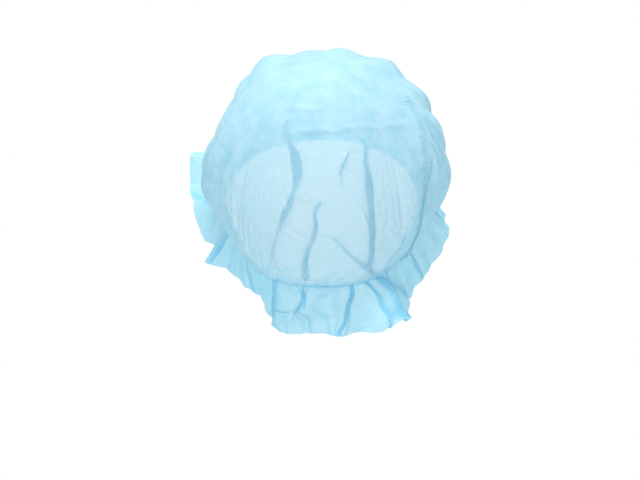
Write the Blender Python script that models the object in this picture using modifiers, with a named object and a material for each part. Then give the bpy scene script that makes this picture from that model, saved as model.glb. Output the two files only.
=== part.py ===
"""Disposable hairnet of thin nonwoven cloth, in the form that it has when it is worn.

A disc of cloth is gathered on a flat elastic. Inside the elastic it is the crown, outside it the
frill. The origin is the centre of the elastic loop, +Z is up and +Y is the way the wearer faces.
"""

import math
from collections import namedtuple

import bmesh
import bpy
import numpy as np

MM = 0.001
WALL = 1.0 * MM
GAP = 0.4 * MM

# The egg-shaped space that the crown goes round
EGG_CENTRE = np.array([0.0, -10.0, 22.0]) * MM
EGG_HALF_WIDTH = 79.0 * MM
EGG_HALF_DEPTH = 97.0 * MM
EGG_HALF_HEIGHT = 88.0 * MM
EGG_HALF_HEIGHT_BELOW = 97.0 * MM
CROWN_CENTRE_TILT = math.radians(33.0)

# The elastic loop, high in front and low at the nape, where it is drawn in at both sides
LOOP_TILT = math.radians(38.5)
LOOP_HALF_WIDTH = 79.0 * MM
LOOP_HALF_LENGTH = 98.0 * MM
LOOP_SQUARENESS = 2.3
NAPE_TUCK = 0.12
ELASTIC_WIDTH = 4.0 * MM
ELASTIC_THICKNESS = 0.8 * MM

# Points round the loop, and rows of the crown and the frill as shares of the way from the crown's
# centre to the elastic, and from the elastic to the free edge
AROUND = 120
CROWN_COARSE_ROWS = ((30, (0.06, 0.12)), (60, (0.18, 0.24, 0.30, 0.36)))
CROWN_ROWS = (0.42, 0.48, 0.54, 0.60, 0.66, 0.72, 0.78, 0.84, 0.89, 0.93, 0.97, 1.0)
FRILL_ROWS = (0.0, 0.16, 0.36, 0.58, 0.80, 1.0)

# How far the crown stands off the egg near its rim and half way up, by the angle round the loop:
# 0 is the right side, 90 the forehead, 180 the left side and 270 the nape
Puff = namedtuple("Puff", "angle rim middle")
TOP_PUFF = 10.0 * MM
PUFFS = (
    Puff(0, 16, 15),
    Puff(45, 15, 15),
    Puff(90, 14, 13),
    Puff(135, 12, 12),
    Puff(180, 10, 11),
    Puff(215, 6, 7),
    Puff(245, 3, 4),
    Puff(270, 2, 3),
    Puff(295, 3, 4),
    Puff(325, 8, 9),
)
CLOSING_STARTS = 0.80

# The pillows that the cloth makes along the outline seen from behind: where each one's middle
# stands, anticlockwise from the right side, its half width in degrees, and its height off the egg
# in millimetres. They slant forwards over the crown, and fade away from the outline.
Pillow = namedtuple("Pillow", "clock half_width height")
PILLOW_VALLEY = 5.0
PILLOW_SLANT = 14.0
PILLOW_SEAM = -85.0
PILLOW_REACH = 0.75
PILLOWS = (
    Pillow(-1, 13, 18.5),
    Pillow(20, 7, 19.5),
    Pillow(38, 7, 21),
    Pillow(58, 7, 21),
    Pillow(80, 8, 15),
    Pillow(93, 8, 12.5),
    Pillow(115, 10, 20),
    Pillow(130, 8, 15),
    Pillow(146, 13, 10),
    Pillow(168, 13, 13.5),
    Pillow(184, 10, 15),
)

# The crown's folds, each a ridge that runs up from the elastic: where it stands on the loop, its
# half width there in degrees, its height in millimetres, how far from the crown's centre it starts
# as a share of the way down, and how many degrees it leans by its upper end
Fold = namedtuple("Fold", "angle half_width height start lean")
FOLD_RISE = 0.28
FOLDS = (
    Fold(6, 13, 5.0, 0.30, -6),
    Fold(27, 14, 6.0, 0.30, 4),
    Fold(48, 13, 5.0, 0.25, -3),
    Fold(68, 12, 5.5, 0.30, 5),
    Fold(88, 14, 5.0, 0.25, 0),
    Fold(110, 13, 5.0, 0.30, -4),
    Fold(130, 13, 5.0, 0.25, 3),
    Fold(152, 14, 5.0, 0.30, -4),
    Fold(174, 13, 5.0, 0.35, 5),
    Fold(196, 13, 4.5, 0.35, 4),
    Fold(216, 10, 3.5, 0.45, -5),
    Fold(232, 6, 2.0, 0.62, -40),
    Fold(246, 5, 2.6, 0.36, 17),
    Fold(262, 5, 2.4, 0.56, 14),
    Fold(275, 5, 1.8, 0.80, 0),
    Fold(287, 4, 2.4, 0.66, -55),
    Fold(294, 5, 3.2, 0.38, -2),
    Fold(302, 5, 2.2, 0.74, 45),
    Fold(318, 10, 3.5, 0.45, 6),
    Fold(340, 13, 4.5, 0.35, -4),
)
GATHERS = 30
GATHER_DEPTH = 1.6 * MM

# The frill, by the angle round the loop: its width, how far it turns from the loop's plane away
# from the crown, and how deep its ruffles are
Flare = namedtuple("Flare", "angle width tilt ruffle")
FLARES = (
    Flare(6, 33.5, 49, 2),
    Flare(17, 41, 57, 2.5),
    Flare(43, 34, 42, 4.5),
    Flare(90, 38, 26, 7),
    Flare(121, 40, 26, 6),
    Flare(142, 42.5, -1, 2.5),
    Flare(153, 39, 18, 3),
    Flare(163, 32.5, 34, 3),
    Flare(177, 35.5, 54, 3),
    Flare(186, 32, 75, 5),
    Flare(196, 38.5, 54, 2),
    Flare(206, 32, 77, 2),
    Flare(226, 34, 96, 2),
    Flare(236, 34.5, 100, 2),
    Flare(254, 37.5, 71, 4),
    Flare(269, 34, 55, 2.5),
    Flare(297, 35.5, 30, 6),
    Flare(311, 31, 74, 5),
    Flare(328, 33, 64, 2.5),
)
RUFFLES = 20
RUFFLE_SWAY = 0.35

# Half the space that parts the crown from the frill at the elastic
PARTING = 0.7 * MM

CROWN_COLOUR = (0.45, 0.75, 0.86)
FRILL_COLOUR = (0.42, 0.73, 0.86)
ELASTIC_COLOUR = (0.30, 0.56, 0.70)


def clear_scene():
    """Empties the startup scene."""
    for thing in list(bpy.data.objects):
        bpy.data.objects.remove(thing, do_unlink=True)


def smooth(x):
    """0 below 0, 1 above 1 and an even rise between."""
    x = np.clip(x, 0.0, 1.0)
    return x * x * (3.0 - 2.0 * x)


def round_table(rows, column, angles):
    """A column of a table that goes round the loop, read at angles in degrees, with soft steps."""
    at = [row.angle for row in rows]
    values = [getattr(row, column) for row in rows]
    at = np.array([at[-1] - 360.0, *at, at[0] + 360.0])
    values = np.array([values[-1], *values, values[0]], dtype=float)
    angles = np.mod(angles, 360.0)
    before = np.clip(np.searchsorted(at, angles, side="right") - 1, 0, len(at) - 2)
    share = (angles - at[before]) / (at[before + 1] - at[before])
    return values[before] + (values[before + 1] - values[before]) * smooth(share)


def loop_axes():
    """The loop plane's forward axis and its normal, which points to the crown."""
    forward = np.array([0.0, math.cos(LOOP_TILT), math.sin(LOOP_TILT)])
    normal = np.array([0.0, -math.sin(LOOP_TILT), math.cos(LOOP_TILT)])
    return forward, normal


def loop_points(angles):
    """Points of the elastic loop, a squared ellipse, at angles in degrees."""
    turn = np.radians(angles)
    across, along = np.cos(turn), np.sin(turn)
    reach = (
        np.abs(across / LOOP_HALF_WIDTH) ** LOOP_SQUARENESS
        + np.abs(along / LOOP_HALF_LENGTH) ** LOOP_SQUARENESS
    ) ** (-1.0 / LOOP_SQUARENESS)
    forward, _ = loop_axes()
    back = np.clip(-reach * along / LOOP_HALF_LENGTH, 0.0, 1.0)
    tuck = 1.0 - NAPE_TUCK * np.sin(math.pi * back)
    return np.outer(reach * across * tuck, [1.0, 0.0, 0.0]) + np.outer(reach * along, forward)


def loop_outward(angles):
    """Unit vectors square to the loop in its plane, away from its middle, and along the loop."""
    step = 0.5
    along = loop_points(angles + step) - loop_points(angles - step)
    along /= np.linalg.norm(along, axis=1)[:, None]
    _, normal = loop_axes()
    return np.cross(along, normal), along


def gathers(angles):
    """0 in the valleys and 1 on the ridges of the small gathers at the elastic."""
    turn = np.radians(angles)
    uneven = 0.6 * np.sin(3 * turn + 0.4) + 0.4 * np.sin(7 * turn + 2.0)
    return 0.5 - 0.5 * np.cos(GATHERS * turn + uneven)


def cloth_at_elastic(angles, side):
    """Where the gathered cloth passes the elastic, on the crown's side (1) or the frill's (-1)."""
    _, normal = loop_axes()
    outward, _ = loop_outward(angles)
    clear = WALL / 2 + GAP + GATHER_DEPTH * gathers(angles)
    return loop_points(angles) + normal * side * PARTING + outward * clear[:, None]


def egg_reach(ways):
    """How far the egg's surface is from its centre, in unit directions."""
    height = np.where(ways[:, 2] > 0, EGG_HALF_HEIGHT, EGG_HALF_HEIGHT_BELOW)
    return 1.0 / np.sqrt(
        (ways[:, 0] / EGG_HALF_WIDTH) ** 2
        + (ways[:, 1] / EGG_HALF_DEPTH) ** 2
        + (ways[:, 2] / height) ** 2
    )


def puff_height(angles, down):
    """How far the crown stands off the egg without its folds, at a share of the way down."""
    edge = round_table(PUFFS, "rim", angles) * MM
    middle = round_table(PUFFS, "middle", angles) * MM
    below_top = smooth((down - 0.15) / 0.55)
    above_rim = smooth((down - 0.60) / 0.20)
    return TOP_PUFF * (1.0 - below_top) + middle * below_top + (edge - middle) * above_rim


def fold_height(angles, down):
    """How far the folds lift the crown, at angles in degrees and a share of the way down."""
    height = np.zeros(len(angles))
    for fold in FOLDS:
        middle = fold.angle + fold.lean * (1.0 - down)
        off = (angles - middle + 180.0) % 360.0 - 180.0
        ridge = 1.0 - (off / fold.half_width) ** 2
        rise = smooth((down - fold.start) / FOLD_RISE)
        height = np.maximum(height, fold.height * MM * rise * ridge)
    return height


def pillow_height(ways):
    """How far the pillows along the outline stand off the egg, in unit directions."""
    clock = np.degrees(np.arctan2(ways[:, 2], ways[:, 0])) + PILLOW_SLANT * ways[:, 1]
    clock = np.where(clock < PILLOW_SEAM, clock + 360.0, clock)
    height = np.interp(clock, [row.clock for row in PILLOWS], [row.height for row in PILLOWS])
    fullness = np.zeros(len(ways))
    for pillow in PILLOWS:
        off = (clock - pillow.clock) / pillow.half_width
        fullness = np.maximum(fullness, np.exp(-(off**2)))
    return (height - PILLOW_VALLEY * (1.0 - fullness)) * MM


def pillow_share(ways):
    """How much of the crown's height is the pillows': all of it on the outline, none at the nape."""
    near_outline = np.clip(1.0 - (ways[:, 1] / PILLOW_REACH) ** 2, 0.0, 1.0) ** 2
    above_nape = smooth((ways[:, 2] + 0.75) / 0.50)
    return near_outline * above_nape


def crown_ways(rim, down):
    """Unit directions from the egg's centre, a share of the way down to the rim's points."""
    rim_ways = rim / np.linalg.norm(rim, axis=1)[:, None]
    top = np.array([0.0, -math.sin(CROWN_CENTRE_TILT), math.cos(CROWN_CENTRE_TILT)])
    whole = np.arccos(np.clip(rim_ways @ top, -1.0, 1.0))
    from_rim = (np.sin(down * whole) / np.sin(whole))[:, None] * rim_ways
    from_top = (np.sin((1.0 - down) * whole) / np.sin(whole))[:, None] * top
    return from_rim + from_top, rim_ways


def crown_row(angles, down):
    """The crown's points at a share of the way down from its centre to the elastic."""
    rim = cloth_at_elastic(angles, 1) - EGG_CENTRE
    ways, rim_ways = crown_ways(rim, down)
    spare = np.linalg.norm(rim, axis=1) - egg_reach(rim_ways)
    to_rim = spare * smooth((down - 0.45) / 0.55)
    height = puff_height(angles, down) + fold_height(angles, down)
    height += (pillow_height(ways) - height) * pillow_share(ways)
    closing = max(0.0, down - CLOSING_STARTS) / (1.0 - CLOSING_STARTS)
    height *= math.sqrt(max(0.0, 1.0 - closing**2))
    return EGG_CENTRE + ways * (egg_reach(ways) + to_rim + height)[:, None]


def ruffle_wave(angles, out):
    """How far the ruffles move the frill off its plain cone, and how far they sway it sideways."""
    turn = np.radians(angles)
    phase = RUFFLES * turn + 0.9 * np.sin(3 * turn) + 0.7 * np.sin(5 * turn + 1.0)
    size = round_table(FLARES, "ruffle", angles) * MM * smooth(out)
    return size * np.sin(phase), RUFFLE_SWAY * size * np.sin(2 * phase)


def frill_row(angles, out):
    """The frill's points at a share of the way from the elastic to the free edge."""
    _, normal = loop_axes()
    outward, along = loop_outward(angles)
    width = round_table(FLARES, "width", angles) * MM
    tilt = np.radians(round_table(FLARES, "tilt", angles))
    way = outward * np.cos(tilt)[:, None] - normal * np.sin(tilt)[:, None]
    wave, sway = ruffle_wave(angles, out)
    plain = cloth_at_elastic(angles, -1) + way * (width * out)[:, None]
    return plain + np.cross(way, along) * wave[:, None] + along * sway[:, None]


def around(count):
    """Angles of count points round the loop, in degrees."""
    return np.arange(count) * 360.0 / count


def add_row(mesh, points):
    """New vertices at points."""
    return [mesh.verts.new(point) for point in points]


def join_rows(mesh, upper, lower):
    """Faces between two closed rows, the lower one with as many points or with twice as many."""
    count = len(upper)
    if len(lower) == count:
        for i in range(count):
            after = (i + 1) % count
            mesh.faces.new((upper[i], upper[after], lower[after], lower[i]))
        return
    for i in range(count):
        after = (i + 1) % count
        left, middle, right = lower[2 * i], lower[2 * i + 1], lower[2 * after]
        mesh.faces.new((upper[i], middle, left))
        mesh.faces.new((upper[i], upper[after], middle))
        mesh.faces.new((upper[after], right, middle))


def material(name, colour):
    """A plain cloth finish."""
    made = bpy.data.materials.new(name)
    made.use_nodes = True
    shader = made.node_tree.nodes["Principled BSDF"]
    shader.inputs["Base Color"].default_value = (*colour, 1.0)
    shader.inputs["Roughness"].default_value = 0.75
    shader.inputs["Metallic"].default_value = 0.0
    return made


def add_sheet(name, mesh, thickness, colour, collection):
    """An object from an open sheet, given its thickness by a Solidify modifier."""
    bmesh.ops.recalc_face_normals(mesh, faces=mesh.faces)
    data = bpy.data.meshes.new(name)
    mesh.to_mesh(data)
    mesh.free()
    data.shade_smooth()
    data.materials.append(material(name, colour))
    thing = bpy.data.objects.new(name, data)
    collection.objects.link(thing)
    wall = thing.modifiers.new("wall", "SOLIDIFY")
    wall.thickness = thickness
    wall.offset = 0.0


def make_crown(collection):
    """The crown: a dome of rows, closed at its centre and open at the elastic."""
    mesh = bmesh.new()
    rows = []
    for count, shares in CROWN_COARSE_ROWS:
        rows += [add_row(mesh, crown_row(around(count), share)) for share in shares]
    rows += [add_row(mesh, crown_row(around(AROUND), share)) for share in CROWN_ROWS]
    centre = mesh.verts.new(crown_row(np.zeros(1), 0.0)[0])
    for i, point in enumerate(rows[0]):
        mesh.faces.new((centre, rows[0][(i + 1) % len(rows[0])], point))
    for upper, lower in zip(rows, rows[1:]):
        join_rows(mesh, upper, lower)
    add_sheet("crown", mesh, WALL, CROWN_COLOUR, collection)


def make_frill(collection):
    """The frill: a ruffled strip of rows round the elastic."""
    mesh = bmesh.new()
    rows = [add_row(mesh, frill_row(around(AROUND), share)) for share in FRILL_ROWS]
    for inner, outer in zip(rows, rows[1:]):
        join_rows(mesh, inner, outer)
    add_sheet("frill", mesh, WALL, FRILL_COLOUR, collection)


def make_elastic(collection):
    """The elastic: a flat band inside the gathers, its outer face on the loop."""
    mesh = bmesh.new()
    _, normal = loop_axes()
    angles = around(AROUND // 2)
    middle = loop_points(angles) - loop_outward(angles)[0] * ELASTIC_THICKNESS / 2
    top = add_row(mesh, middle + normal * ELASTIC_WIDTH / 2)
    bottom = add_row(mesh, middle - normal * ELASTIC_WIDTH / 2)
    join_rows(mesh, top, bottom)
    add_sheet("elastic_band", mesh, ELASTIC_THICKNESS, ELASTIC_COLOUR, collection)


def main():
    clear_scene()
    collection = bpy.data.collections.new("disposable_hairnet")
    bpy.context.scene.collection.children.link(collection)
    make_crown(collection)
    make_frill(collection)
    make_elastic(collection)


main()
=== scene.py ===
"""Disposable hairnet of thin blue nonwoven cloth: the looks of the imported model.

One disc of cloth, gathered on a flat elastic, is made as two pieces that meet at the elastic, the
crown inside it and the frill outside it. Angles go round the elastic loop: 0 is the right side, 90
the front, 180 the left side and 270 the back. Lengths are in metres.
"""

import math
from collections import namedtuple

import bpy
import numpy as np
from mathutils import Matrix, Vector


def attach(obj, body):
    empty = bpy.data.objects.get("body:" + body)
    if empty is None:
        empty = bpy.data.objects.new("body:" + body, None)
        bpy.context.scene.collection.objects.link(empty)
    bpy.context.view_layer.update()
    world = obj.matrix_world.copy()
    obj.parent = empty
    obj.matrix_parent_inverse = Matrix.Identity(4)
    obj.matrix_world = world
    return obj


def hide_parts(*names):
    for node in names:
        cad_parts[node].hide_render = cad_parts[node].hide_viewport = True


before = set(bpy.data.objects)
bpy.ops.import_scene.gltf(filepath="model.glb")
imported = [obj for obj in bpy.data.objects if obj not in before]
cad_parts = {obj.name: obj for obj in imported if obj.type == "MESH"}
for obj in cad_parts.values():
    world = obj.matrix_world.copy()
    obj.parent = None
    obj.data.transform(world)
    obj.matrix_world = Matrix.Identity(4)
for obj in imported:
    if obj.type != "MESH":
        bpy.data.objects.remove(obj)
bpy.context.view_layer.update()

MM = 0.001
TINY = 1e-9

# The egg-shaped space that the crown goes round, and how far the crown's centre leans back
EGG_CENTRE = np.array([0.0, -10.0, 22.0]) * MM
EGG_HALF_WIDTH = 79.0 * MM
EGG_HALF_DEPTH = 97.0 * MM
EGG_HALF_HEIGHT = 88.0 * MM
EGG_HALF_HEIGHT_BELOW = 97.0 * MM
CROWN_CENTRE_TILT = math.radians(33.0)

# The elastic loop: a squared ellipse that leans back and is drawn in on both sides of its low back end
LOOP_TILT = math.radians(38.5)
LOOP_HALF_WIDTH = 79.0 * MM
LOOP_HALF_LENGTH = 98.0 * MM
LOOP_SQUARENESS = 2.3
BACK_TUCK = 0.12
ELASTIC_CLEARANCE = 0.5 * MM

# Points round the loop and along the cloth of the first, coarse settling; both double once after it.
# A gather is left to the finer settling where the coarse one has too few columns for its ridges
CROWN_GRID = (344, 71)
FRILL_GRID = (600, 20)
DOUBLINGS = 1
COLUMNS_PER_RIDGE = 6

# The flat round cut, and the cloth of the crown and of the frill: the share of the view that one layer
# covers, and the colours of its thick and thin places and of its fibres. The crown's colours are the
# cloth's own blue made paler than the frill's, which is a painted highlight of the light that falls on the
# crown from above
CUT_RADIUS = 0.225
Cloth = namedtuple("Cloth", "name cover deep pale fibre")
CROWN_CLOTH = Cloth(
    "crown_nonwoven", 0.80, (0.36, 0.67, 0.79, 1.0), (0.53, 0.76, 0.85, 1.0), (0.65, 0.86, 0.93, 1.0)
)
FRILL_CLOTH = Cloth(
    "frill_nonwoven", 0.86, (0.31, 0.70, 0.86, 1.0), (0.43, 0.80, 0.94, 1.0), (0.60, 0.90, 0.98, 1.0)
)

# The cloth's detail on the cut: two sets of fibre streaks, its clouds, and its lattice of bond points,
# which are deeper, smoother and more open; the ranges of noise that show; how much the cover varies; and
# the slant, as a cosine, from which on the cloth gets no denser
Streaks = namedtuple("Streaks", "turn scale")
FIBRE_STREAKS = (
    Streaks(20.0, (2200.0, 240.0, 1.0)),
    Streaks(-35.0, (2400.0, 260.0, 1.0)),
)
CLOUD_SCALE = 34.0
BOND_LATTICE_TURN = 45.0
BOND_SCALE = 300.0
BOND_UNEVENNESS = 0.12
BOND_OPENNESS = 0.10
BOND_DEPTH = 0.6
BOND_EDGE = (0.16, 0.30)
BOND_ROUGHNESS = 0.42
CLOTH_ROUGHNESS = 0.62
CLOUD_RANGE = (0.3, 0.7)
FIBRE_RANGE = (0.35, 0.65)
FIBRES_SEEN = (0.45, 0.75)
FIBRE_TINT = 0.5
COVER_SWING = 0.07
STEEPEST_SEEN = 0.45
FIBRE_RELIEF = 0.12 * MM
CLOTH_SHEEN = 0.25
SHEEN_TINT = (0.85, 0.96, 1.0, 1.0)

# The knitted elastic: its ribs, how much they and the yarn show, and the tones from deep to pale
ELASTIC_RIB = 0.7 * MM
ELASTIC_RELIEF = 0.15 * MM
ELASTIC_RIB_TONE = 0.7
ELASTIC_YARN_TONE = 0.5
ELASTIC_TONES = (0.2, 1.0)
ELASTIC_DEEP = (0.22, 0.54, 0.70, 1.0)
ELASTIC_PALE = (0.40, 0.72, 0.86, 1.0)

# How far the crown stands off the egg, in millimetres, near the rim and between it and the top, by the
# angle round the loop. Shares are of the way down from the crown's centre to the elastic
Puff = namedtuple("Puff", "angle rim middle")
TOP_PUFF = 10.0 * MM
TOP_PUFF_ENDS = 0.15
TOP_PUFF_FADE = 0.55
RIM_PUFF_STARTS = 0.60
RIM_PUFF_RISE = 0.20
PUFFS = (
    Puff(0, 16, 15),
    Puff(45, 15, 15),
    Puff(90, 14, 13),
    Puff(135, 12, 12),
    Puff(180, 10, 11),
    Puff(215, 6, 7),
    Puff(245, 3, 4),
    Puff(270, 2, 3),
    Puff(295, 3, 4),
    Puff(325, 8, 9),
)
CLOSING_STARTS = 0.80
RIM_PULL_STARTS = 0.45
RIM_PULL_RISE = 0.55

# The pillows along the outline seen from behind, anticlockwise from the right side: where they are and
# their half width in degrees, and how far they stand off the egg in millimetres
Pillow = namedtuple("Pillow", "clock half_width height")
PILLOW_VALLEY = 5.0
PILLOW_SLANT = 14.0
PILLOW_SEAM = -85.0
PILLOW_REACH = 0.75
PILLOW_LOWEST = -0.75
PILLOW_RISE = 0.50
PILLOWS = (
    Pillow(-1, 13, 18.5),
    Pillow(20, 7, 19.5),
    Pillow(38, 7, 21),
    Pillow(58, 7, 21),
    Pillow(80, 8, 15),
    Pillow(93, 8, 12.5),
    Pillow(115, 10, 20),
    Pillow(130, 8, 15),
    Pillow(146, 13, 10),
    Pillow(168, 13, 13.5),
    Pillow(184, 10, 15),
)

# The crown's broad folds: angle and half width in degrees, height in millimetres, the share of the
# way down where they start, and how far they lean in degrees
Fold = namedtuple("Fold", "angle half_width height start lean")
FOLD_RISE = 0.28
FOLDS = (
    Fold(6, 13, 5.0, 0.30, -6),
    Fold(27, 14, 6.0, 0.30, 4),
    Fold(48, 13, 5.0, 0.25, -3),
    Fold(68, 12, 5.5, 0.30, 5),
    Fold(88, 14, 5.0, 0.25, 0),
    Fold(110, 13, 5.0, 0.30, -4),
    Fold(130, 13, 5.0, 0.25, 3),
    Fold(152, 14, 5.0, 0.30, -4),
    Fold(174, 13, 5.0, 0.35, 5),
    Fold(196, 13, 4.5, 0.35, 4),
    Fold(216, 10, 3.5, 0.45, -5),
    Fold(318, 10, 3.5, 0.45, 6),
    Fold(340, 13, 4.5, 0.35, -4),
)

# The frill, by the angle round the loop: its width in millimetres, how far it tilts out of the loop's
# plane in degrees, and the height of its ruffles in millimetres
Flare = namedtuple("Flare", "angle width tilt ruffle")
FLARES = (
    Flare(6, 33.5, 49, 1),
    Flare(17, 41, 57, 1.5),
    Flare(43, 34, 42, 4.5),
    Flare(90, 38, 26, 7),
    Flare(121, 40, 26, 6),
    Flare(142, 42.5, -1, 2.5),
    Flare(153, 38, 18, 2),
    Flare(163, 32.5, 34, 1.5),
    Flare(177, 35.5, 54, 1.5),
    Flare(186, 32, 75, 1.5),
    Flare(196, 38.5, 54, 1),
    Flare(206, 32, 77, 1),
    Flare(226, 34, 96, 2),
    Flare(236, 34.5, 100, 2),
    Flare(254, 37.5, 71, 4),
    Flare(269, 34, 55, 2.5),
    Flare(297, 35.5, 30, 4),
    Flare(311, 31, 74, 3.5),
    Flare(328, 33, 64, 1),
)

# The frill's ruffles: how many go round the loop, how they drift from even places (turns round the loop,
# size and start, in radians), and how far they lean over, as a share of their height
Drift = namedtuple("Drift", "turns size start")
RUFFLES = 20
RUFFLE_DRIFTS = (
    Drift(3, 0.9, 0.0),
    Drift(5, 0.7, 1.0),
)
RUFFLE_SWAY = 0.35

# What the folds draw in of the frill's width, in millimetres
Spare = namedtuple("Spare", "angle width")
SPARES = (
    Spare(0, 1.5),
    Spare(90, 1.0),
    Spare(155, 1.5),
    Spare(180, 1.5),
    Spare(206, 2.0),
    Spare(230, 2.0),
    Spare(244, 3.0),
    Spare(257, 1.0),
    Spare(270, 2.0),
    Spare(283, 3.5),
    Spare(292, 3.5),
    Spare(303, 3.0),
    Spare(313, 3.0),
    Spare(328, 2.5),
    Spare(345, 3.5),
)

# How loose the cloth is round the loop: 0 is drawn taut, 1 is full of gathers
Loose = namedtuple("Loose", "angle crown frill")
LOOSENESS = (
    Loose(0, 1.0, 0.1),
    Loose(30, 1.0, 0.5),
    Loose(60, 1.0, 1.0),
    Loose(115, 1.0, 1.0),
    Loose(145, 1.0, 0.12),
    Loose(205, 0.65, 0.08),
    Loose(240, 0.25, 0.15),
    Loose(270, 0.20, 0.55),
    Loose(295, 0.20, 0.4),
    Loose(315, 0.3, 0.15),
    Loose(335, 0.65, 0.06),
)

# Gathers: how many ridges go round the loop, how high they are in millimetres, and how far from the
# elastic they start, are full and end, in millimetres along the cloth
Gather = namedtuple("Gather", "ridges height start full end seed")
CROWN_LENGTH = 185.0
CROWN_GATHERS = (
    Gather(112, 2.6, -2, 4, 34, 1),
    Gather(57, 3.8, 3, 16, 80, 2),
    Gather(31, 4.2, 14, 45, 140, 3),
)
FRILL_LENGTH = 37.0
FRILL_GATHERS = (
    Gather(96, 2.0, -2, 4, 22, 6),
    Gather(44, 4.0, 1, 14, 60, 4),
    Gather(19, 7.0, 6, 34, 120, 5),
)
FRILL_STIFF_EDGE = 0.125

# Unevenness is a sum of seeded waves: the fewest and most turns that they make round the loop, and how
# steeply they climb along the cloth
Waves = namedtuple("Waves", "fewest most climb")
RIPPLE_WAVES = 22

# How far the gathers' ridges drift sideways and how much their height varies, with the length of cloth
# in millimetres over which they do
GATHER_DRIFT = 1.1
GATHER_DRIFT_WAVES = Waves(1, 11, 1.2)
GATHER_DRIFT_LENGTH = 60.0
GATHER_SWING = 0.35
GATHER_SWING_WAVES = Waves(3, 17, 0.8)
GATHER_SWING_LENGTH = 90.0
GATHER_SWING_SEED = 20

# How much the spare cloth varies, and between which factors
SLACK_SWING = 0.35
SLACK_FACTORS = (0.2, 2.0)
CROWN_SLACK_SEED = 41
CROWN_SLACK_WAVES = Waves(2, 23, 3.0)
FRILL_SLACK_SEED = 43
FRILL_SLACK_WAVES = Waves(2, 31, 2.0)

# How the cloth settles, coarse first: the rounds, how strongly a thread resists being longer and
# shorter, the weave a change of its angles and the cloth a bend, how strongly it is held to the surface
# as a whole and in its broad waves, and how far a point may move, in millimetres
Settling = namedtuple("Settling", "rounds stretch squeeze shear bend hold broad reach")
CROWN_SETTLING = (
    Settling(160, 1.0, 0.9, 0.20, 0.06, 0.002, 0.3, 9.0),
    Settling(60, 1.0, 0.9, 0.20, 0.06, 0.002, 0.3, 9.5),
)
FRILL_SETTLING = (
    Settling(160, 1.0, 0.9, 0.20, 0.06, 0.002, 0.3, 10.0),
    Settling(60, 1.0, 0.9, 0.20, 0.06, 0.002, 0.3, 10.5),
)
BROAD_WAVES = 14

# The crown's first row and how its rows crowd towards the elastic, the least and most spare cloth that
# its gathers take up, that of the frill, how steeply both grow with the looseness, and how much more the
# cloth is held where it is drawn taut
CROWN_FIRST_ROW = 0.012
CROWN_ROW_CROWDING = 1.1
CROWN_LEAST_SLACK = 0.02
CROWN_MOST_SLACK = 1.0
CROWN_SLACK_POWER = 1.2
FRILL_SLACK = 0.90
FRILL_SLACK_POWER = 1.4
CROWN_HELD = 12.0
FRILL_HELD = 6.0

# Creases where the cloth lies folded over itself: the side that lies on top (1 is the side of the
# smaller angles), and its path: a share of the way from the crown's centre or from the elastic, the
# angle round the loop and the folded strip's width in millimetres
Crease = namedtuple("Crease", "side path")
CROWN_CREASES = (
    Crease(1, ((0.34, 241, 0), (0.40, 247, 6), (0.47, 255, 9), (0.54, 257, 8), (0.60, 256, 4),
               (0.68, 254, 6), (0.73, 252.5, 3.5), (0.78, 250.5, 2), (0.85, 248, 2), (0.96, 246, 0))),
    Crease(-1, ((0.62, 269.5, 0), (0.66, 268, 5), (0.72, 266.5, 4), (0.82, 264, 4), (0.90, 263, 6),
                (0.97, 262.5, 5))),
    Crease(1, ((0.74, 270.5, 0), (0.79, 275, 3), (0.85, 280.5, 4), (0.90, 284.5, 6), (0.97, 288, 6))),
    Crease(-1, ((0.40, 294.5, 0), (0.46, 294.3, 3), (0.50, 294, 6), (0.60, 292.5, 7), (0.70, 291, 8),
                (0.82, 291, 6), (0.92, 292.5, 6), (0.99, 294, 7))),
    Crease(1, ((0.66, 285, 0), (0.74, 286, 2), (0.84, 288.5, 2), (0.93, 291, 0))),
    Crease(1, ((0.44, 285.5, 0), (0.50, 281, 3.5), (0.55, 277.5, 2), (0.60, 274, 0))),
    Crease(1, ((0.78, 313, 0), (0.86, 308, 3), (0.92, 303, 3.5), (0.98, 298, 3))),
    Crease(1, ((0.34, 353, 0), (0.44, 346, 6), (0.52, 338, 8), (0.60, 331, 5), (0.72, 324, 0))),
    Crease(-1, ((0.56, 342, 0), (0.66, 334, 3), (0.73, 329, 4), (0.80, 323, 5), (0.90, 316, 4),
                (0.98, 310, 3))),
)
FRILL_CREASES = (
    Crease(1, ((-0.05, 286, 5), (0.4, 288, 7), (0.8, 289, 6), (1.05, 289, 3))),
    Crease(-1, ((-0.05, 296, 7), (0.35, 298, 13), (0.75, 298, 13), (1.05, 298, 6))),
    Crease(-1, ((-0.05, 278, 3), (0.3, 277, 5), (0.7, 276.5, 4), (1.05, 276, 3))),
    Crease(1, ((-0.05, 262, 2), (0.3, 262, 4), (0.6, 261, 2), (0.8, 261, 0))),
    Crease(1, ((-0.05, 247, 4), (0.5, 248, 7), (1.05, 248, 7))),
    Crease(1, ((-0.05, 306, 4), (0.5, 309, 5), (1.05, 311, 3))),
    Crease(-1, ((-0.05, 330, 4), (0.5, 328, 6), (1.05, 327, 4))),
    Crease(1, ((-0.05, 8, 5), (0.5, 10, 6), (1.05, 11, 5))),
    Crease(-1, ((-0.05, 48, 3), (0.5, 46, 4), (1.05, 44, 3))),
    Crease(1, ((-0.05, 176, 4), (0.4, 169, 7), (0.8, 161, 7), (1.05, 157, 3))),
    Crease(-1, ((-0.05, 199, 4), (0.5, 198, 6), (1.05, 197, 5))),
    Crease(1, ((-0.05, 222, 4), (0.5, 224, 6), (1.05, 225, 5))),
)

# How a crease wanders, in degrees, and swells along its path, and the share over which it starts and ends
CREASE_WANDER = 0.5
CREASE_WANDER_RATE = 0.11
CREASE_SWELL = 0.2
CREASE_SWELL_RATE = 0.19
CREASE_END = 0.03

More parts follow.
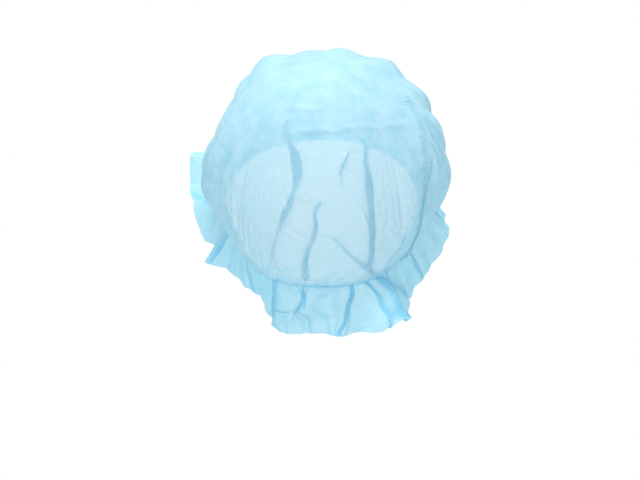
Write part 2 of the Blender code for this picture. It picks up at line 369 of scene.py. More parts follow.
# How far a crease draws the cloth over itself and how sharply it turns, as shares of the strip's width,
# how high the layers stack, and how wide the pull and the stack reach: a share of the width and an edge
CREASE_PULL = 0.90
CREASE_TURN = 0.28
CREASE_LEAST_TURN = 0.8 * MM
CREASE_STACK = 0.9 * MM
CREASE_FULL_WIDTH = 3.0 * MM
PULL_REACH = 3.0
PULL_EDGE = 4.0 * MM
STACK_REACH = 1.2
STACK_EDGE = 2.0 * MM
STACK_RIDGE = 0.6

# Where the columns of points crowd at a crease: their extra density, how far it reaches in degrees, how
# far the columns beside it thin out for it, and the least density
COLUMN_STEP = 0.05
COLUMNS_EXTRA = 3.0
COLUMNS_CLOSE = 2.2
COLUMNS_BESIDE = 15.0
COLUMNS_LEAST = 0.3
COLUMNS_FULL_WIDTH = 4.0 * MM

# Wrinkles that stand up from the crown's back: their half width and their path, as steps across and up
# as seen from behind and the height there, in millimetres
Wrinkle = namedtuple("Wrinkle", "half_width path")
WRINKLES = (
    Wrinkle(1.7, ((-21, 53, 0), (-14, 50.5, 0.9), (-2, 51.5, 0.6), (8, 50.3, 1.0), (20, 53.5, 0.7),
                  (30, 54.8, 1.0), (38, 53.6, 0.6), (50, 56.5, 0.8), (58, 57.5, 0.5), (65, 56.5, 0))),
    Wrinkle(1.6, ((-32, 66, 0), (-20, 68, 0.8), (-8, 66.5, 0.7), (4, 68.5, 0))),
    Wrinkle(1.8, ((17, 102.5, 0), (30, 102, 1.4), (42, 100, 0))),
    Wrinkle(1.6, ((-47, -44, 0), (-32, -46, 1.6), (-16, -47, 0))),
    Wrinkle(2.0, ((-67, -12, 0), (-64, -24, 3.0), (-60, -32, 2.6), (-54, -40, 0))),
)
WRINKLE_FADE = 10.0 * MM

# Steps over which a surface's normals are read, in degrees and shares, and the shares that are read
NORMAL_TURN = 0.3
NORMAL_STEP = 0.004
NORMAL_SHARES = (0.01, 0.996)

# The camera behind the cap: its place, and its focal length in pixels of an image 640 pixels wide
CAMERA_PLACE = (-0.0024, -1.0, -0.027)
FOCAL_PX = 1250.0
IMAGE_WIDTH_PX = 640.0
SENSOR_WIDTH = 36.0

# The studio: soft lights from above and from the camera's side, a white surround and a pale floor
Light = namedtuple("Light", "name place size power")
LIGHTS = (
    Light("key", (-0.12, -0.6, 1.75), 1.0, 41.0),
    Light("fill", (-0.05, -1.3, -0.35), 0.9, 9.0),
)
LIGHT_TARGET = (0.0, 0.0, 0.02)
SURROUND_SHOWN = 1.0
SURROUND_LIGHTING = 0.65
FLOOR_RADIUS = 9.0
FLOOR_CORNERS = 96
FLOOR_PLACE = (0.0, 0.0, -0.34)
FLOOR_GREY = (0.8, 0.8, 0.8, 1.0)
WHITE = (1.0, 1.0, 1.0, 1.0)


def smooth(x):
    """0 below 0, 1 above 1 and an even rise between."""
    x = np.clip(x, 0.0, 1.0)
    return x * x * (3.0 - 2.0 * x)


def rise(x, start, width):
    """0 up to a start, 1 from a width beyond it on, and an even rise between."""
    return smooth((x - start) / width)


def turned(angles, centre):
    """Angles in degrees as seen from a centre, from -180 to 180."""
    return (angles - centre + 180.0) % 360.0 - 180.0


def round_table(rows, column, angles):
    """A column of a table that goes round the loop, read at angles in degrees, with soft steps."""
    at = [row.angle for row in rows]
    values = [getattr(row, column) for row in rows]
    at = np.array([at[-1] - 360.0, *at, at[0] + 360.0])
    values = np.array([values[-1], *values, values[0]], dtype=float)
    angles = np.mod(angles, 360.0)
    before = np.clip(np.searchsorted(at, angles, side="right") - 1, 0, len(at) - 2)
    share = (angles - at[before]) / (at[before + 1] - at[before])
    return values[before] + (values[before + 1] - values[before]) * smooth(share)


def loop_axes():
    """The loop plane's forward axis and its normal, which points to the crown."""
    forward = np.array([0.0, math.cos(LOOP_TILT), math.sin(LOOP_TILT)])
    normal = np.array([0.0, -math.sin(LOOP_TILT), math.cos(LOOP_TILT)])
    return forward, normal


def loop_points(angles):
    """Points of the elastic loop, a squared ellipse, at angles in degrees."""
    turn = np.radians(angles)
    across, along = np.cos(turn), np.sin(turn)
    reach = (
        np.abs(across / LOOP_HALF_WIDTH) ** LOOP_SQUARENESS
        + np.abs(along / LOOP_HALF_LENGTH) ** LOOP_SQUARENESS
    ) ** (-1.0 / LOOP_SQUARENESS)
    forward, _ = loop_axes()
    back = np.clip(-reach * along / LOOP_HALF_LENGTH, 0.0, 1.0)
    tuck = 1.0 - BACK_TUCK * np.sin(math.pi * back)
    right = np.array([1.0, 0.0, 0.0])
    return (reach * across * tuck)[..., None] * right + (reach * along)[..., None] * forward


def loop_outward(angles):
    """Unit vectors square to the loop in its plane, away from its middle, and along the loop."""
    step = 0.5
    along = loop_points(angles + step) - loop_points(angles - step)
    along /= np.linalg.norm(along, axis=-1, keepdims=True)
    _, normal = loop_axes()
    return np.cross(along, normal), along


def egg_reach(ways):
    """How far the egg's surface is from its centre, in unit directions."""
    height = np.where(ways[..., 2] > 0, EGG_HALF_HEIGHT, EGG_HALF_HEIGHT_BELOW)
    return 1.0 / np.sqrt(
        (ways[..., 0] / EGG_HALF_WIDTH) ** 2
        + (ways[..., 1] / EGG_HALF_DEPTH) ** 2
        + (ways[..., 2] / height) ** 2
    )


def puff_height(angles, down):
    """How far the crown stands off the egg without its folds, at a share of the way down."""
    edge = round_table(PUFFS, "rim", angles) * MM
    middle = round_table(PUFFS, "middle", angles) * MM
    below_top = rise(down, TOP_PUFF_ENDS, TOP_PUFF_FADE)
    near_rim = rise(down, RIM_PUFF_STARTS, RIM_PUFF_RISE)
    return TOP_PUFF * (1.0 - below_top) + middle * below_top + (edge - middle) * near_rim


def fold_height(angles, down):
    """How far the broad folds lift the crown."""
    height = np.zeros(np.broadcast(angles, down).shape)
    for fold in FOLDS:
        off = turned(angles, fold.angle + fold.lean * (1.0 - down))
        ridge = 1.0 - (off / fold.half_width) ** 2
        height = np.maximum(height, fold.height * MM * rise(down, fold.start, FOLD_RISE) * ridge)
    return height


def pillow_height(ways):
    """How far the pillows along the outline stand off the egg, in unit directions."""
    clock = np.degrees(np.arctan2(ways[..., 2], ways[..., 0])) + PILLOW_SLANT * ways[..., 1]
    clock = np.where(clock < PILLOW_SEAM, clock + 360.0, clock)
    height = np.interp(clock, [row.clock for row in PILLOWS], [row.height for row in PILLOWS])
    fullness = np.zeros(clock.shape)
    for pillow in PILLOWS:
        off = (clock - pillow.clock) / pillow.half_width
        fullness = np.maximum(fullness, np.exp(-(off**2)))
    return (height - PILLOW_VALLEY * (1.0 - fullness)) * MM


def pillow_share(ways):
    """How much of the crown's height is the pillows': all of it on the outline, none low at the back."""
    near_outline = np.clip(1.0 - (ways[..., 1] / PILLOW_REACH) ** 2, 0.0, 1.0) ** 2
    return near_outline * rise(ways[..., 2], PILLOW_LOWEST, PILLOW_RISE)


def crown_surface(angles, down):
    """The crown without its fine detail, at a share of the way down from its centre."""
    rim = loop_points(angles) + loop_outward(angles)[0] * ELASTIC_CLEARANCE - EGG_CENTRE
    rim_ways = rim / np.linalg.norm(rim, axis=-1, keepdims=True)
    top = np.array([0.0, -math.sin(CROWN_CENTRE_TILT), math.cos(CROWN_CENTRE_TILT)])
    whole = np.arccos(np.clip(rim_ways @ top, -1.0, 1.0))
    from_rim = (np.sin(down * whole) / np.sin(whole))[..., None] * rim_ways
    ways = from_rim + (np.sin((1.0 - down) * whole) / np.sin(whole))[..., None] * top
    spare = np.linalg.norm(rim, axis=-1) - egg_reach(rim_ways)
    to_rim = spare * rise(down, RIM_PULL_STARTS, RIM_PULL_RISE)
    height = puff_height(angles, down) + fold_height(angles, down)
    height += (pillow_height(ways) - height) * pillow_share(ways)
    closing = np.maximum(0.0, down - CLOSING_STARTS) / (1.0 - CLOSING_STARTS)
    height *= np.sqrt(np.maximum(0.0, 1.0 - closing**2))
    return EGG_CENTRE + ways * (egg_reach(ways) + to_rim + height)[..., None]


def frill_surface(angles, out):
    """The frill at a share of the way from the elastic to the free edge."""
    _, normal = loop_axes()
    outward, along = loop_outward(angles)
    width = (round_table(FLARES, "width", angles) + round_table(SPARES, "width", angles)) * MM
    tilt = np.radians(round_table(FLARES, "tilt", angles))
    way = outward * np.cos(tilt)[..., None] - normal * np.sin(tilt)[..., None]
    turn = np.radians(angles)
    phase = RUFFLES * turn
    for drift in RUFFLE_DRIFTS:
        phase = phase + drift.size * np.sin(drift.turns * turn + drift.start)
    size = round_table(FLARES, "ruffle", angles) * MM * smooth(out)
    wave = (size * np.sin(phase))[..., None]
    sway = (RUFFLE_SWAY * size * np.sin(2 * phase))[..., None]
    start = loop_points(angles) + outward * ELASTIC_CLEARANCE
    return start + way * (width * out)[..., None] + np.cross(way, along) * wave + along * sway


def ripple(angles, rows, seed, waves):
    """Smooth unevenness of about unit size that closes round the loop."""
    chance = np.random.default_rng(seed)
    total = np.zeros(np.broadcast(angles, rows).shape)
    for _ in range(RIPPLE_WAVES):
        turns = chance.integers(waves.fewest, waves.most + 1)
        climb = chance.uniform(-waves.climb, waves.climb) * math.pi
        total += np.cos(np.radians(angles) * turns + rows * climb + chance.uniform(0, 2 * math.pi))
    return total * math.sqrt(2.0 / RIPPLE_WAVES)


def gather_height(angles, along, gathers, fewest, most):
    """How far those gathers with a number of ridges from fewest to most lift the cloth."""
    height = np.zeros(np.broadcast(angles, along).shape)
    for row in gathers:
        if not fewest < row.ridges <= most:
            continue
        drift = ripple(angles, along / GATHER_DRIFT_LENGTH, row.seed, GATHER_DRIFT_WAVES)
        swing_seed = row.seed + GATHER_SWING_SEED
        swing = ripple(angles, along / GATHER_SWING_LENGTH, swing_seed, GATHER_SWING_WAVES)
        size = (1.0 - GATHER_SWING) + GATHER_SWING * swing
        ridge = np.abs(np.cos(0.5 * row.ridges * np.radians(angles) + GATHER_DRIFT * drift))
        fuller = rise(along, row.start, row.full - row.start)
        fading = 1.0 - rise(along, row.full, row.end - row.full)
        height += row.height * MM * size * (ridge - 0.5) * fuller * fading
    return height


def crease_rows(crease, shares, length):
    """A crease's angle and width at each row of cloth; the width is 0 beyond its ends."""
    at = [step[0] for step in crease.path]
    angle = np.interp(shares, at, [step[1] for step in crease.path])
    width = np.interp(shares, at, [step[2] for step in crease.path]) * MM
    inside = smooth(np.minimum(shares - at[0], at[-1] - shares) / CREASE_END)
    wander = np.sin(CREASE_WANDER_RATE * length * shares + crease.path[0][1])
    swell = np.sin(CREASE_SWELL_RATE * length * shares + crease.path[0][1])
    return angle + CREASE_WANDER * wander, width * inside * (1.0 + CREASE_SWELL * swell)


def row_angles(shares, creases, around, length):
    """Angles of the columns at each row, closer together at the creases and wider beside them."""
    fine = np.arange(0.0, 360.0, COLUMN_STEP)
    rows = np.empty((len(shares), around))
    for i, share in enumerate(shares):
        density = np.ones(len(fine))
        for crease in creases:
            centre, width = crease_rows(crease, share, length)
            off = turned(fine, centre)
            close = np.exp(-((off / COLUMNS_CLOSE) ** 2))
            beside = COLUMNS_CLOSE / COLUMNS_BESIDE * np.exp(-((off / COLUMNS_BESIDE) ** 2))
            density += COLUMNS_EXTRA * smooth(width / COLUMNS_FULL_WIDTH) * (close - beside)
        density = np.maximum(density, COLUMNS_LEAST)
        total = np.concatenate([[0.0], np.cumsum(density)])
        at = np.append(fine, 360.0)
        rows[i] = np.interp(np.arange(around) / around, total / total[-1], at)
    return rows


def crease_moves(surface, creases, angles, shares, length):
    """Where the creases draw the cloth to, as angles, and how far they lift it."""
    moved = angles.copy()
    lift = np.zeros(angles.shape)
    for crease in creases:
        centre, width = crease_rows(crease, shares, length)
        ends = surface(np.stack([centre - 0.5, centre + 0.5], axis=-1), shares[:, None])
        per_degree = np.linalg.norm(ends[..., 1, :] - ends[..., 0, :], axis=-1)[:, None]
        width = width[:, None]
        off = turned(angles, centre[:, None]) * per_degree
        turn = np.tanh(off / np.maximum(CREASE_TURN * width, CREASE_LEAST_TURN))
        near = np.exp(-((off / (PULL_REACH * width + PULL_EDGE)) ** 2))
        moved -= CREASE_PULL * width * turn * near / per_degree
        stack = CREASE_STACK * smooth(width / CREASE_FULL_WIDTH)
        reach = STACK_REACH * width + STACK_EDGE
        lift -= crease.side * stack * turn * np.exp(-((off / reach) ** 2))
        lift += stack * np.exp(-((off / (STACK_RIDGE * reach)) ** 2))
    return moved, lift


def wrinkle_height(points):
    """How far the wrinkles on the crown's back lift the cloth."""
    seen = points[..., [0, 2]] / MM
    height = np.zeros(seen.shape[:-1])
    for wrinkle in WRINKLES:
        path = np.array(wrinkle.path, dtype=float)
        for start, end in zip(path[:-1], path[1:]):
            way = end[:2] - start[:2]
            share = np.clip((seen - start[:2]) @ way / (way @ way), 0.0, 1.0)
            off = np.linalg.norm(seen - start[:2] - share[..., None] * way, axis=-1)
            ridge = start[2] + share * (end[2] - start[2])
            height = np.maximum(height, ridge * np.exp(-((off / wrinkle.half_width) ** 2)))
    return height * MM * smooth(-points[..., 1] / WRINKLE_FADE)


def surface_normals(surface, angles, shares):
    """Outward unit normals of a surface of angle and share."""
    shares = np.clip(shares, *NORMAL_SHARES)
    turn = surface(angles + NORMAL_TURN, shares) - surface(angles - NORMAL_TURN, shares)
    step = surface(angles, shares + NORMAL_STEP) - surface(angles, shares - NORMAL_STEP)
    normal = np.cross(step, turn)
    return normal / np.linalg.norm(normal, axis=-1, keepdims=True)


def folded_crown(angles, down):
    """The crown with its creases, on rows of angles, and its outward normals."""
    moved, lift = crease_moves(crown_surface, CROWN_CREASES, angles, down, CROWN_LENGTH)
    shares = np.broadcast_to(down[:, None], angles.shape)
    normal = surface_normals(crown_surface, moved, shares)
    points = crown_surface(moved, shares)
    return points + normal * (lift + wrinkle_height(points))[..., None], normal


def folded_frill(angles, out):
    """The frill with its creases, on rows of angles, and its outward normals."""
    moved, lift = crease_moves(frill_surface, FRILL_CREASES, angles, out, FRILL_LENGTH)
    shares = np.broadcast_to(out[:, None], angles.shape)
    lift *= smooth(shares / FRILL_STIFF_EDGE)
    normal = -surface_normals(frill_surface, moved, shares)
    return frill_surface(moved, shares) + normal * lift[..., None], normal


def linked_points(rows, around):
    """Pairs of points that hold each other, in sets in which no point comes twice."""
    grid = np.arange(rows * around).reshape(rows, around)
    one_on = np.roll(grid, -1, axis=1)
    two_on = np.roll(grid, -2, axis=1)
    pairs = []
    for start in (0, 1):
        upper = np.arange(start, rows - 1, 2)
        columns = (np.arange(around) // 2) % 2 == start
        lines = np.array([i for i in range(rows - 2) if (i // 2) % 2 == start])
        pairs.append(("round", grid[:, start::2], one_on[:, start::2]))
        pairs.append(("along", grid[upper], grid[upper + 1]))
        pairs.append(("slant", grid[upper], one_on[upper + 1]))
        pairs.append(("slant", one_on[upper], grid[upper + 1]))
        pairs.append(("bend round", grid[:, columns], two_on[:, columns]))
        pairs.append(("bend along", grid[lines], grid[lines + 2]))
    return [(kind, first.ravel(), second.ravel()) for kind, first, second in pairs]


def rest_lengths(pairs, goal, slack):
    """How far apart linked points rest: as on the surface, and longer round the loop by the slack."""
    lengths = []
    for kind, first, second in pairs:
        length = np.linalg.norm(goal[second] - goal[first], axis=1)
        scale = 1.0 + 0.5 * (slack[first] + slack[second])
        half = 1.0 + 0.5 * (scale - 1.0)
        longer = {"round": scale, "bend round": scale, "slant": half, "along": 1.0, "bend along": 1.0}
        lengths.append(length * longer[kind])
    return lengths


def pull_links(points, pairs, lengths, free, settling):
    """Moves linked points, those that are free, towards their resting lengths."""
    keeps = {"round": 1.0, "along": 1.0, "slant": settling.shear, "bend round": settling.bend,
             "bend along": settling.bend}
    for (kind, first, second), length in zip(pairs, lengths):
        between = points[second] - points[first]
        now = np.sqrt(np.einsum("ij,ij->i", between, between)) + TINY
        keep = np.where(now > length, settling.stretch, settling.squeeze) * keeps[kind]
        share = keep * (now - length) / now / np.maximum(free[first] + free[second], 1.0)
        points[first] += (share * free[first])[:, None] * between
        points[second] -= (share * free[second])[:, None] * between


def outside_egg(points):
    """Points, with those inside the egg brought out to its surface."""
    ways = points - EGG_CENTRE
    far = np.linalg.norm(ways, axis=1)
    reach = egg_reach(ways / far[:, None])
    return np.where((far < reach)[:, None], EGG_CENTRE + ways * (reach / far)[:, None], points)


def settle(start, goal, slack, settling, hold_scale, over_egg):
    """Lets cloth that is longer than the surface under it buckle into folds and crumples.

    Cloth over the egg is fixed at its last row and stays outside the egg; other cloth is fixed at its
    first row.
    """
    rows, around = slack.shape
    pairs = linked_points(rows, around)
    goal = goal.reshape(-1, 3)
    lengths = rest_lengths(pairs, goal, slack.ravel())
    free = np.ones((rows, around))
    free[-1 if over_egg else 0] = 0.0
    free = free.ravel()
    hold = settling.hold * hold_scale.ravel()[:, None]
    cap = settling.reach * MM * (1.0 / np.sqrt(hold_scale)).ravel()
    points = start.reshape(-1, 3).copy()
    for _ in range(settling.rounds):
        pull_links(points, pairs, lengths, free, settling)
        points += (goal - points) * hold
        points -= settling.broad * broad_part((points - goal).reshape(rows, around, 3)).reshape(-1, 3)
        if over_egg:
            points = outside_egg(points)
        moved = points - goal
        far = np.linalg.norm(moved, axis=1) + TINY
        points = goal + moved * np.minimum(1.0, cap / far)[:, None]
    return points.reshape(rows, around, 3)


def broad_part(move):
    """The part of moves that changes slowly round the loop."""
    waves = np.fft.rfft(move, axis=1)
    waves[:, BROAD_WAVES:] = 0.0
    return np.fft.irfft(waves, n=move.shape[1], axis=1)


def ironed(move):
    """Moves without the zigzag between neighbouring columns and rows."""
    move = 0.5 * move + 0.25 * (np.roll(move, 1, axis=1) + np.roll(move, -1, axis=1))
    inner = 0.6 * move[1:-1] + 0.2 * (move[:-2] + move[2:])
    return np.concatenate([move[:1], inner, move[-1:]])


def doubled(grid):
    """Twice as many columns and rows of a closed grid of values, evenly between the old ones."""
    columns = np.empty((grid.shape[0], grid.shape[1] * 2) + grid.shape[2:])
    columns[:, 0::2] = grid
    columns[:, 1::2] = 0.5 * (grid + np.roll(grid, -1, axis=1))
    rows = np.empty((grid.shape[0] * 2 - 1,) + columns.shape[1:])
    rows[0::2] = columns
    rows[1::2] = 0.5 * (columns[:-1] + columns[1:])
    return rows


def unevenness(angles, shares, seed, waves):
    """An uneven factor of about 1 for each point of a grid."""
    return np.clip(1.0 + SLACK_SWING * ripple(angles, shares[:, None], seed, waves), *SLACK_FACTORS)


def crown_slack(points, angles, down):
    """How much longer the cut cloth is round the loop than the surface, as a share."""
    steps = np.linalg.norm(np.diff(points, axis=0), axis=-1)
    along = np.concatenate([np.zeros(angles.shape[1])[None], np.cumsum(steps, axis=0)])
    radius = along.mean(axis=1) + down[0] * CROWN_LENGTH * MM
    girth = np.linalg.norm(points - np.roll(points, -1, axis=1), axis=-1).sum(axis=1)
    spare = np.clip(2.0 * math.pi * radius / girth - 1.0, CROWN_LEAST_SLACK, CROWN_MOST_SLACK)
    loose = round_table(LOOSENESS, "crown", angles)
    uneven = unevenness(angles, down, CROWN_SLACK_SEED, CROWN_SLACK_WAVES)
    return spare[:, None] * loose**CROWN_SLACK_POWER * uneven


def grid_size(grid, turn):
    """How many columns and rows a grid has after a number of doublings."""
    return grid[0] * 2**turn, (grid[1] - 1) * 2**turn + 1


def settled_crown():
    """Points of the crown, row by row from its centre to the elastic."""
    move = 0.0
    fitted = 0
    for turn in range(DOUBLINGS + 1):
        around, rows = grid_size(CROWN_GRID, turn)
        down = 1.0 - (1.0 - np.linspace(CROWN_FIRST_ROW, 1.0, rows)) ** CROWN_ROW_CROWDING
        angles = row_angles(down, CROWN_CREASES, around, CROWN_LENGTH)
        goal, normal = folded_crown(angles, down)
        loose = round_table(LOOSENESS, "crown", angles)
        along = (1.0 - down[:, None]) * CROWN_LENGTH
        most = around // COLUMNS_PER_RIDGE
        ridges = gather_height(angles, along, CROWN_GATHERS, fitted, most)
        move += normal * (loose * ridges)[..., None]
        fitted = most
        slack = crown_slack(goal, angles, down)
        held = 1.0 + CROWN_HELD * (1.0 - loose)
        move = settle(goal + move, goal, slack, CROWN_SETTLING[turn], held, True) - goal
        if turn < DOUBLINGS:
            move = doubled(move)
    return goal + ironed(move)


def settled_frill():
    """Points of the frill, row by row from the elastic to its free edge."""
    move = 0.0
    fitted = 0
    for turn in range(DOUBLINGS + 1):
        around, rows = grid_size(FRILL_GRID, turn)
        out = np.linspace(0.0, 1.0, rows)
        angles = row_angles(out, FRILL_CREASES, around, FRILL_LENGTH)
        goal, normal = folded_frill(angles, out)
        loose = round_table(LOOSENESS, "frill", angles)
        along = out[:, None] * FRILL_LENGTH
        most = around // COLUMNS_PER_RIDGE
        ridges = gather_height(angles, along, FRILL_GATHERS, fitted, most)
        ridges *= smooth(out[:, None] / FRILL_STIFF_EDGE)
        move += normal * (loose * ridges)[..., None]
        fitted = most
        uneven = unevenness(angles, out, FRILL_SLACK_SEED, FRILL_SLACK_WAVES)
        slack = FRILL_SLACK * loose**FRILL_SLACK_POWER * uneven
        held = 1.0 + FRILL_HELD * (1.0 - loose)
        move = settle(goal + move, goal, slack, FRILL_SETTLING[turn], held, False) - goal
        if turn < DOUBLINGS:
            move = doubled(move)
    return goal + ironed(move)


def grid_faces(rows, around):
    """Quads between closed rows of points."""
    i = np.arange(rows - 1)[:, None] * around
    j = np.arange(around)[None, :]
    after = (j + 1) % around
    quads = np.stack([i + j, i + after, i + around + after, i + around + j], axis=-1)
    return quads.reshape(-1, 4).tolist()


def cut_layout(radius, around):
    """Where rows of points lie on the flat round cut, as texture coordinates from 0 to 1."""
    turn = np.radians(np.arange(around) * 360.0 / around)
    across = np.stack([np.cos(turn), np.sin(turn)], axis=-1) * radius[:, None, None]
    return 0.5 + across / (2.0 * CUT_RADIUS)


def cloth_object(name, points, faces, layout, replaced):
    """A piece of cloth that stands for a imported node, with its layout on the flat cut."""
    data = bpy.data.meshes.new(name)
    data.from_pydata(points.reshape(-1, 3).tolist(), [], faces)
    corners = np.empty(len(data.loops), dtype=np.int32)
    data.loops.foreach_get("vertex_index", corners)
    data.uv_layers.new(name="cut").data.foreach_set("uv", layout.reshape(-1, 2)[corners].ravel())
    data.shade_smooth()
    thing = bpy.data.objects.new(name, data)
    bpy.context.scene.collection.objects.link(thing)
    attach(thing, "root")
    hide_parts(replaced)
    return thing


def make_crown():
    """The crown, whose rows close at its centre with a fan of triangles."""
    grid = settled_crown()
    rows, around = grid.shape[:2]
    points = np.concatenate([grid.reshape(-1, 3), grid[0].mean(axis=0)[None]])
    faces = grid_faces(rows, around)
    last = len(points) - 1
    faces += [[last, (j + 1) % around, j] for j in range(around)]
    layout = cut_layout(np.linspace(CROWN_FIRST_ROW, 1.0, rows) * CROWN_LENGTH * MM, around)
    layout = np.concatenate([layout.reshape(-1, 2), [[0.5, 0.5]]])
    return cloth_object("crown_cloth", points, faces, layout, "crown")


def make_frill():
    """The frill, an open ring round the crown on the same cut."""
    grid = settled_frill()
    rows, around = grid.shape[:2]
    layout = cut_layout((CROWN_LENGTH + np.linspace(0.0, FRILL_LENGTH, rows)) * MM, around)
    return cloth_object("frill_cloth", grid, grid_faces(rows, around), layout, "frill")


class Nodes:
    """Adds nodes to a material, with their values and links in one call."""

    def __init__(self, name):
        """Starts a material of that name without nodes."""
        self.material = bpy.data.materials.new(name)
        self.material.use_nodes = True
        self.tree = self.material.node_tree
        self.tree.nodes.clear()

    def add(self, kind, values=None, **settings):
        """A node with its settings, and its inputs set to values or linked to other nodes."""
        node = self.tree.nodes.new("ShaderNode" + kind)
        for key, value in settings.items():
            setattr(node, key, value)
        for key, value in (values or {}).items():
            if isinstance(value, bpy.types.NodeSocket):
                self.tree.links.new(value, node.inputs[key])
            else:
                node.inputs[key].default_value = value
        return node

    def ramp(self, value, low, high, to_low, to_high):
        """A value spread evenly from one range to another, and kept within it."""
        values = {"Value": value, "From Min": low, "From Max": high, "To Min": to_low, "To Max": to_high}
        return self.add("MapRange", values).outputs["Result"]

    def math(self, operation, first, second):
        """A sum, product or the like of two values."""
        return self.add("Math", {0: first, 1: second}, operation=operation).outputs[0]

    def blend(self, share, first, second):
        """A colour between two others."""
        return self.add("Mix", {0: share, 6: first, 7: second}, data_type="RGBA").outputs[2]

    def stretched_noise(self, coordinates, turn, scale):
        """Noise drawn out into streaks, which lie at a turn in degrees."""
        spin = self.add("Mapping", {"Vector": coordinates, "Rotation": (0.0, 0.0, math.radians(turn)),
                                    "Scale": scale})
        values = {"Vector": spin.outputs[0], "Scale": 1.0, "Detail": 3.0, "Roughness": 0.6}
        return self.add("TexNoise", values).outputs[0]


def fibre_streaks(made, cut):
    """The unevenness of fibres that lie two ways, about 0.5."""
    one_way, other_way = [made.stretched_noise(cut, row.turn, row.scale) for row in FIBRE_STREAKS]
    return made.math("MULTIPLY", made.math("ADD", one_way, other_way), 0.5)


def bond_points(made, cut):
    """1 at the points where the fibres are bonded, which lie in a slanting lattice, and 0 between."""
    turn = (0.0, 0.0, math.radians(BOND_LATTICE_TURN))
    lattice = made.add("Mapping", {"Vector": cut, "Rotation": turn, "Scale": (BOND_SCALE, BOND_SCALE, 1.0)})
    values = {"Vector": lattice.outputs[0], "Scale": 1.0, "Randomness": BOND_UNEVENNESS}
    away = made.add("TexVoronoi", values, voronoi_dimensions="2D").outputs["Distance"]
    return made.ramp(away, *BOND_EDGE, 1.0, 0.0)


def layer_cover(made, kind, clouds, fibres, bond):
    """The share of what is behind it that one layer covers, which is more at a slant."""
    thicker = made.ramp(clouds, *CLOUD_RANGE, -COVER_SWING, COVER_SWING)
    denser = made.math("ADD", thicker, made.ramp(fibres, *FIBRE_RANGE, -COVER_SWING, COVER_SWING))
    at_bonds = made.math("ADD", made.math("MULTIPLY", bond, BOND_OPENNESS), 1.0 - kind.cover)
    open_share = made.math("SUBTRACT", at_bonds, denser)
    facing = made.add("LayerWeight", {"Blend": 0.5}).outputs["Facing"]
    slope = made.math("MAXIMUM", made.math("SUBTRACT", 1.0, facing), STEEPEST_SEEN)
    through = made.math("POWER", open_share, made.math("DIVIDE", 1.0, slope))
    return made.math("SUBTRACT", 1.0, through)


def nonwoven(kind):
    """Thin blue nonwoven cloth: bonded fibres that let light and what is behind them through."""
    made = Nodes(kind.name)
    cut = made.add("UVMap", uv_map="cut").outputs[0]
    fibres = fibre_streaks(made, cut)
    values = {"Vector": cut, "Scale": CLOUD_SCALE, "Detail": 5.0, "Roughness": 0.62}
    clouds = made.add("TexNoise", values).outputs[0]
    bond = bond_points(made, cut)
    cover = layer_cover(made, kind, clouds, fibres, bond)
    tint = made.blend(made.ramp(clouds, *CLOUD_RANGE, 0.0, 1.0), kind.deep, kind.pale)
    tint = made.blend(made.ramp(fibres, *FIBRES_SEEN, 0.0, FIBRE_TINT), tint, kind.fibre)
    relief = made.math("SUBTRACT", fibres, made.math("MULTIPLY", bond, BOND_DEPTH))
    bump = made.add("Bump", {"Height": relief, "Strength": 0.25, "Distance": FIBRE_RELIEF}).outputs[0]
    rough = made.ramp(bond, 0.0, 1.0, CLOTH_ROUGHNESS, BOND_ROUGHNESS)
    values = {"Base Color": tint, "Roughness": rough, "Alpha": cover, "Normal": bump, "IOR": 1.45,
              "Sheen Weight": CLOTH_SHEEN, "Sheen Roughness": 0.4, "Sheen Tint": SHEEN_TINT}
    lit = made.add("BsdfPrincipled", values).outputs[0]
    glow = made.add("BsdfTranslucent", {"Color": tint, "Normal": bump}).outputs[0]
    clear = made.add("BsdfTransparent").outputs[0]
    lit_through = made.add("MixShader", {0: cover, 1: clear, 2: glow}).outputs[0]
    both = made.add("MixShader", {0: 0.5, 1: lit, 2: lit_through}).outputs[0]
    made.add("OutputMaterial", {"Surface": both})
    return made.material


def covered_elastic():
    """Flat knitted elastic: fine ribs along it, with a matt, slightly uneven yarn."""
    made = Nodes("covered_elastic")
    place = made.add("TexCoord").outputs["Object"]
    level = made.add("Mapping", {"Vector": place, "Rotation": (-LOOP_TILT, 0.0, 0.0)}).outputs[0]
    ribs = made.add("TexWave", {"Vector": level, "Scale": 1.0 / (ELASTIC_RIB * 2.0 * math.pi),
                                "Distortion": 0.4, "Detail": 1.0}, bands_direction="Z").outputs["Fac"]
    yarn = made.add("TexNoise", {"Vector": level, "Scale": 1400.0, "Detail": 3.0}).outputs[0]
    rib_tone = made.math("MULTIPLY", ribs, ELASTIC_RIB_TONE)
    tone = made.math("ADD", rib_tone, made.math("MULTIPLY", yarn, ELASTIC_YARN_TONE))
    tint = made.blend(made.ramp(tone, *ELASTIC_TONES, 0.0, 1.0), ELASTIC_DEEP, ELASTIC_PALE)
    bump = made.add("Bump", {"Height": tone, "Strength": 0.6, "Distance": ELASTIC_RELIEF}).outputs[0]
    surface = made.add("BsdfPrincipled", {"Base Color": tint, "Roughness": 0.75, "Normal": bump})
    made.add("OutputMaterial", {"Surface": surface.outputs[0]})
    return made.material


def make_camera():
    """A camera that looks level along +Y."""
    data = bpy.data.cameras.new("camera")
    data.sensor_width = SENSOR_WIDTH
    data.lens = FOCAL_PX / IMAGE_WIDTH_PX * SENSOR_WIDTH
    thing = bpy.data.objects.new("camera", data)
    thing.location = CAMERA_PLACE
    thing.rotation_euler = (math.radians(90.0), 0.0, 0.0)
    bpy.context.scene.collection.objects.link(thing)
    bpy.context.scene.camera = thing


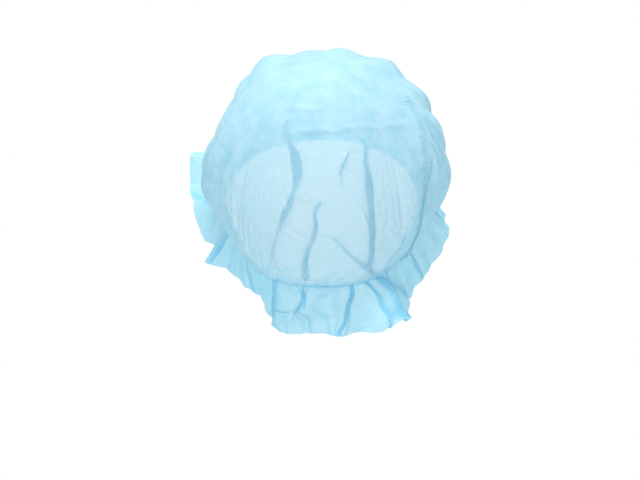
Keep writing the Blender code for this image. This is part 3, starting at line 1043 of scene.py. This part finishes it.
def make_light(light):
    """A square light that faces the cap."""
    data = bpy.data.lights.new(light.name, "AREA")
    data.size = light.size
    data.energy = light.power
    thing = bpy.data.objects.new(light.name, data)
    thing.location = light.place
    way = Vector(LIGHT_TARGET) - Vector(light.place)
    thing.rotation_euler = way.to_track_quat("-Z", "Y").to_euler()
    bpy.context.scene.collection.objects.link(thing)


def make_surround():
    """A white surround that the camera sees brighter than it lights the cap."""
    world = bpy.data.worlds.new("surround")
    world.use_nodes = True
    nodes, links = world.node_tree.nodes, world.node_tree.links
    background = nodes["Background"]
    background.inputs["Color"].default_value = WHITE
    path = nodes.new("ShaderNodeLightPath")
    strength = nodes.new("ShaderNodeMapRange")
    strength.inputs["To Min"].default_value = SURROUND_LIGHTING
    strength.inputs["To Max"].default_value = SURROUND_SHOWN
    links.new(path.outputs["Is Camera Ray"], strength.inputs["Value"])
    links.new(strength.outputs["Result"], background.inputs["Strength"])
    bpy.context.scene.world = world


def make_floor():
    """A round floor, white to the camera, matt to the light and clear from below."""
    bpy.ops.mesh.primitive_circle_add(
        radius=FLOOR_RADIUS, vertices=FLOOR_CORNERS, fill_type="NGON", location=FLOOR_PLACE
    )
    floor = bpy.context.object
    floor.name = "floor"
    made = Nodes("pale_floor")
    camera = made.add("LightPath").outputs["Is Camera Ray"]
    matt = made.add("BsdfDiffuse", {"Color": FLOOR_GREY}).outputs[0]
    white = made.add("Emission", {"Color": WHITE, "Strength": 1.0}).outputs[0]
    above = made.add("MixShader", {0: camera, 1: matt, 2: white}).outputs[0]
    below = made.add("NewGeometry").outputs["Backfacing"]
    clear = made.add("BsdfTransparent").outputs[0]
    both = made.add("MixShader", {0: below, 1: above, 2: clear}).outputs[0]
    made.add("OutputMaterial", {"Surface": both})
    floor.data.materials.append(made.material)


crown = make_crown()
crown.data.materials.append(nonwoven(CROWN_CLOTH))
frill = make_frill()
frill.data.materials.append(nonwoven(FRILL_CLOTH))
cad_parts["elastic_band"].material_slots[0].material = covered_elastic()
make_camera()
for light in LIGHTS:
    make_light(light)
make_surround()
make_floor()
bpy.context.scene.view_settings.view_transform = "Standard"
